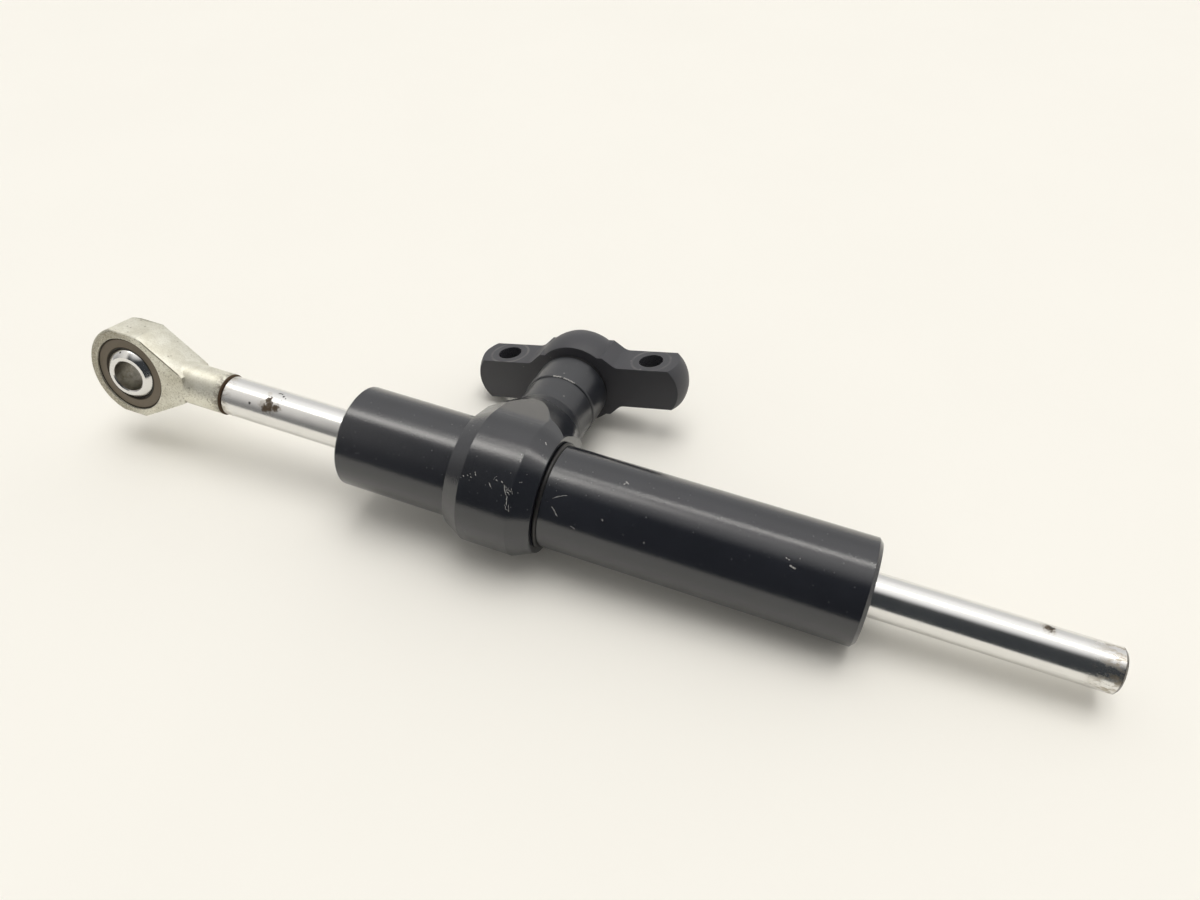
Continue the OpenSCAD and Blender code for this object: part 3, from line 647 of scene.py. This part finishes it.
bpy.ops.object.select_all(action="DESELECT")
bpy.ops.mesh.primitive_plane_add(size=table_size)
table = bpy.context.active_object
table.name = "table"
middle = front_edge + table_size / 2
table_x = -middle * math.sin(table_turn)
table_y = middle * math.cos(table_turn)
table_z = table_height + table_slope_x * table_x + table_slope_y * table_y
normal = Vector((-table_slope_x, -table_slope_y, 1.0))
lean = Vector((0.0, 0.0, 1.0)).rotation_difference(normal).to_matrix()
table.rotation_euler = (lean @ Matrix.Rotation(table_turn, 3, "Z")).to_euler()
table.location = (table_x, table_y, table_z)
bpy.ops.object.transform_apply(location=True, rotation=True, scale=True)
table_top, tree, surface, place = new_finish("table_top")
mottle = add_noise(tree, place, 14.0, 3.0, 0.5)
colour = add_mix(tree, mottle, (0.930, 0.905, 0.835, 1.0), (0.955, 0.930, 0.860, 1.0))
tree.links.new(colour, surface.inputs["Base Color"])
surface.inputs["Roughness"].default_value = 0.9
surface.inputs["Specular IOR Level"].default_value = 0.1
table.data.materials.append(table_top)

lamp_height = 0.95
lamp_colour = (1.0, 0.975, 0.92)


def add_strip(name, length, width, power, x, y, tilt):
    """Hangs a long lamp with soft edges that only reflections show."""
    lamp = bpy.data.lights.new(name, "AREA")
    lamp.shape = "ELLIPSE"
    lamp.size = length
    lamp.size_y = width
    lamp.energy = power
    lamp.color = lamp_colour
    lamp.use_nodes = True
    tree = lamp.node_tree
    tree.nodes.clear()
    across = add_node(tree, "ShaderNodeNewGeometry").outputs["Parametric"]
    reach = add_vector(tree, "DISTANCE", across, (0.5, 0.5, 0.0), "Value")
    glow = add_node(tree, "ShaderNodeEmission", {"Strength": add_ramp(tree, reach, 0.5, 0.05)})
    add_node(tree, "ShaderNodeOutputLight", {"Surface": glow.outputs[0]})
    strip = bpy.data.objects.new(name, lamp)
    bpy.context.scene.collection.objects.link(strip)
    strip.location = (x, y, lamp_height)
    strip.rotation_euler = (math.radians(tilt), 0.0, 0.0)
    strip.visible_diffuse = False


add_strip("wide_strip", 1.02, 0.42, 5.1, -0.44, -0.10, 3.0)
add_strip("short_strip", 0.62, 0.24, 0.72, -0.09, -0.10, 3.0)
add_strip("long_strip", 1.90, 0.146, 4.6, 0.25, 0.13, -10.7)

room = bpy.data.worlds.new("room")
room.use_nodes = True
bpy.context.scene.world = room
tree = room.node_tree
tree.nodes.clear()
way = add_split(tree, add_node(tree, "ShaderNodeTexCoord").outputs["Generated"])

# What reflections show: pale walls, dark on the camera's side but for a pale wall on the left
walls = add_ramp(tree, way["Z"], 0.45, 0.92)
walls = add_mix(tree, walls, (0.745, 0.736, 0.723, 1.0), (1.16, 1.145, 1.125, 1.0))
left_wall = add_ramp(tree, way["X"], -0.32, -0.54)
left_wall = add_product(tree, left_wall, add_ramp(tree, way["Z"], 0.0, 0.85, 0.24, 1.0))
gloom = add_mix(tree, left_wall, (0.044, 0.048, 0.052, 1.0), (0.925, 0.895, 0.855, 1.0))
toward_camera = add_ramp(tree, way["Y"], 0.15, -0.3)
below_ceiling = add_ramp(tree, way["Z"], 1.02, 0.79)
walls = add_mix(tree, add_product(tree, toward_camera, below_ceiling), walls, gloom)

# What lights the matte surfaces: a dome that is brighter at the back, and a soft patch overhead
height = add_math(tree, "ARCTAN2", way["Z"], way["Y"])
overhead = add_product(
    tree,
    add_ramp(tree, height, 1.00, 1.45),
    add_ramp(tree, height, 2.14, 1.69),
    add_ramp(tree, add_math(tree, "ABSOLUTE", way["X"]), 0.42, 0.20),
)
dome = add_ramp(tree, way["Y"], -0.6, 0.9, 0.385, 0.74)
dome = add_math(tree, "MULTIPLY_ADD", overhead, 3.9, dome)
dome = add_scale(tree, (1.01, 1.0, 0.985), dome)
rays = add_node(tree, "ShaderNodeLightPath").outputs
walls = add_mix(tree, rays["Is Diffuse Ray"], walls, dome)
walls = add_mix(tree, rays["Is Camera Ray"], walls, (0.93, 0.905, 0.82, 1.0))
sky = add_node(tree, "ShaderNodeBackground", {"Color": walls})
add_node(tree, "ShaderNodeOutputWorld", {"Surface": sky.outputs[0]})

view = bpy.data.cameras.new("camera")
view.sensor_width = 36.0
view.lens = 27.85
view.clip_start = 0.005
camera = bpy.data.objects.new("camera", view)
bpy.context.scene.collection.objects.link(camera)
camera.matrix_world = Matrix((
    (0.9349, -0.2772, 0.2215, 0.0670),
    (0.3455, 0.5691, -0.7462, -0.2007),
    (0.0808, 0.7741, 0.6278, 0.14497),
    (0.0, 0.0, 0.0, 1.0),
))
bpy.context.scene.camera = camera
bpy.context.scene.view_settings.view_transform = "Standard"
